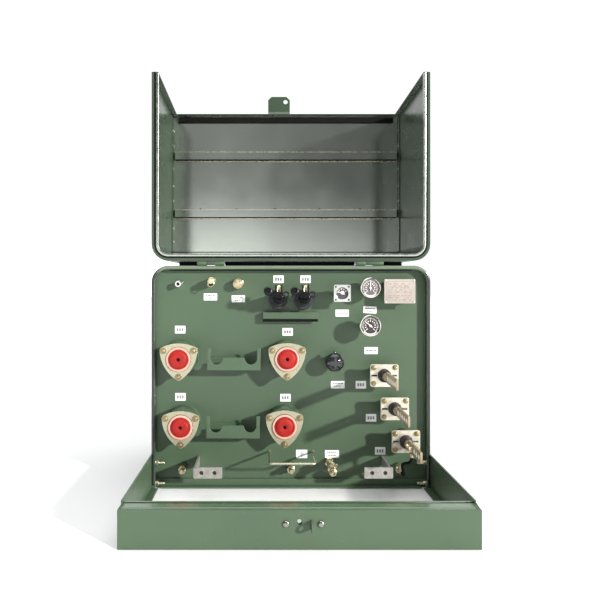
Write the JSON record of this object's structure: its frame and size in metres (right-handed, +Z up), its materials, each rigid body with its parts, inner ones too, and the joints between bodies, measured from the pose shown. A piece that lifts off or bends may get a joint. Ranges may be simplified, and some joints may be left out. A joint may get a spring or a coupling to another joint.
{
  "type": "pad-mounted transformer",
  "caption": "Green pad-mounted transformer with its cabinet hood swung up, high-voltage bushings on the left, low-voltage spades on the right.",
  "frame": {"origin": "centre of the box around the part, on the ground under it", "axes": "+X to the right of a person at the open cabinet, +Y away from them towards the tank's back, +Z up"},
  "size_m": [1.076, 1.1389, 1.561],
  "materials": {
    "tank_paint": "semi-gloss green enamel",
    "hood_paint": "glossy green enamel",
    "clamp_paint": "cream zinc-yellow passivated casting",
    "core_steel": "stacked silicon steel laminations",
    "winding": "strip winding under kraft paper",
    "bushing_epoxy": "dark cast epoxy",
    "cap_red": "moulded red plastic",
    "black_plastic": "moulded black plastic",
    "bare_steel": "bare stainless steel",
    "spade_metal": "tinned bar",
    "gauge_case": "polished stainless bezel",
    "pointer_paint": "matt off-white",
    "nameplate_steel": "etched stainless plate",
    "brass": "machined brass",
    "black_rubber": "matt black rubber"
  },
  "bodies": {
    "tank": {"tank_shell": "tank_paint", "tank_cover": "tank_paint", "radiator_panel": "tank_paint", "sill_frame": "tank_paint", "padlock_staple": "tank_paint", "parking_stand_upper": "tank_paint", "parking_stand_lower": "tank_paint", "drip_tray": "tank_paint", "core": "core_steel", "coil_lv": "winding", "coil_hv": "winding", "hv_well_1": "bushing_epoxy", "hv_clamp_1": "clamp_paint", "hv_well_2": "bushing_epoxy", "hv_clamp_2": "clamp_paint", "hv_well_3": "bushing_epoxy", "hv_clamp_3": "clamp_paint", "hv_well_4": "bushing_epoxy", "hv_clamp_4": "clamp_paint", "lv_bushing_1": "bushing_epoxy", "lv_clamp_1": "bare_steel", "lv_spade_1": "spade_metal", "lv_bushing_2": "bushing_epoxy", "lv_clamp_2": "bare_steel", "lv_spade_2": "spade_metal", "lv_bushing_3": "bushing_epoxy", "lv_clamp_3": "bare_steel", "lv_spade_3": "spade_metal", "fuse_housing_1": "black_plastic", "fuse_housing_2": "black_plastic", "level_gauge": "gauge_case", "thermometer_gauge": "gauge_case", "pressure_gauge": "gauge_case", "nameplate": "nameplate_steel", "tap_changer": "black_plastic", "relief_valve": "brass", "drain_valve": "brass", "test_valve": "bare_steel", "ground_pad_left": "bare_steel", "ground_pad_right": "bare_steel", "ground_bail": "bare_steel", "ground_strap": "black_rubber"},
    "hood": {"hood_wrapper": "hood_paint", "hood_front": "hood_paint", "hood_seal": "black_rubber"},
    "dust_cap_1": {"dust_cap_1": "cap_red"},
    "dust_cap_2": {"dust_cap_2": "cap_red"},
    "dust_cap_3": {"dust_cap_3": "cap_red"},
    "dust_cap_4": {"dust_cap_4": "cap_red"},
    "fuse_holder_1": {"fuse_holder_1": "black_plastic"},
    "fuse_handle_1": {"fuse_handle_1": "black_plastic"},
    "fuse_holder_2": {"fuse_holder_2": "black_plastic"},
    "fuse_handle_2": {"fuse_handle_2": "black_plastic"},
    "tap_knob": {"tap_knob": "black_plastic"},
    "relief_pull_ring": {"relief_pull_ring": "brass"},
    "fill_plug": {"fill_plug": "brass"},
    "level_pointer": {"level_pointer": "pointer_paint"},
    "thermometer_pointer": {"thermometer_pointer": "pointer_paint"},
    "pressure_pointer": {"pressure_pointer": "pointer_paint"}
  },
  "joints": [
    {"name": "hood_hinge", "type": "hinge", "parent": "tank", "child": "hood", "pos_m": [0, -0.05165, 0.809], "axis": [1, 0, 0], "range_deg": [0, 180]},
    {"name": "dust_cap_1_pull", "type": "slide", "parent": "tank", "child": "dust_cap_1", "axis": [0, -1, 0], "range_m": [0, 0.08]},
    {"name": "dust_cap_2_pull", "type": "slide", "parent": "tank", "child": "dust_cap_2", "axis": [0, -1, 0], "range_m": [0, 0.08]},
    {"name": "dust_cap_3_pull", "type": "slide", "parent": "tank", "child": "dust_cap_3", "axis": [0, -1, 0], "range_m": [0, 0.08]},
    {"name": "dust_cap_4_pull", "type": "slide", "parent": "tank", "child": "dust_cap_4", "axis": [0, -1, 0], "range_m": [0, 0.08]},
    {"name": "fuse_1_pull", "type": "slide", "parent": "tank", "child": "fuse_holder_1", "axis": [0, -0.9781, 0.2079], "range_m": [0, 0.2]},
    {"name": "fuse_1_handle", "type": "hinge", "parent": "fuse_holder_1", "child": "fuse_handle_1", "pos_m": [-0.046, -0.12147, 0.69279], "axis": [1, 0, 0], "range_deg": [0, 90]},
    {"name": "fuse_2_pull", "type": "slide", "parent": "tank", "child": "fuse_holder_2", "axis": [0, -0.9781, 0.2079], "range_m": [0, 0.2]},
    {"name": "fuse_2_handle", "type": "hinge", "parent": "fuse_holder_2", "child": "fuse_handle_2", "pos_m": [0.046, -0.12147, 0.69279], "axis": [1, 0, 0], "range_deg": [0, 90]},
    {"name": "tap_knob_turn", "type": "hinge", "parent": "tank", "child": "tap_knob", "pos_m": [0.154, -0.07165, 0.457], "axis": [0, -1, 0], "range_deg": [-72, 72]},
    {"name": "relief_pull", "type": "slide", "parent": "tank", "child": "relief_pull_ring", "axis": [0, -1, 0], "range_m": [0, 0.006], "stiffness_N_per_m": 500},
    {"name": "fill_plug_draw", "type": "slide", "parent": "tank", "child": "fill_plug", "axis": [0, -1, 0], "range_m": [0, 0.06]},
    {"name": "level_needle", "type": "hinge", "parent": "tank", "child": "level_pointer", "pos_m": [0.179, -0.08465, 0.702], "axis": [0, -1, 0], "range_deg": [-100, 20]},
    {"name": "thermometer_needle", "type": "hinge", "parent": "tank", "child": "thermometer_pointer", "pos_m": [0.28, -0.07965, 0.721], "axis": [0, -1, 0], "range_deg": [-135, 135]},
    {"name": "pressure_needle", "type": "hinge", "parent": "tank", "child": "pressure_pointer", "pos_m": [0.277, -0.09465, 0.588], "axis": [0, -1, 0], "range_deg": [-185, 85]}
  ]
}
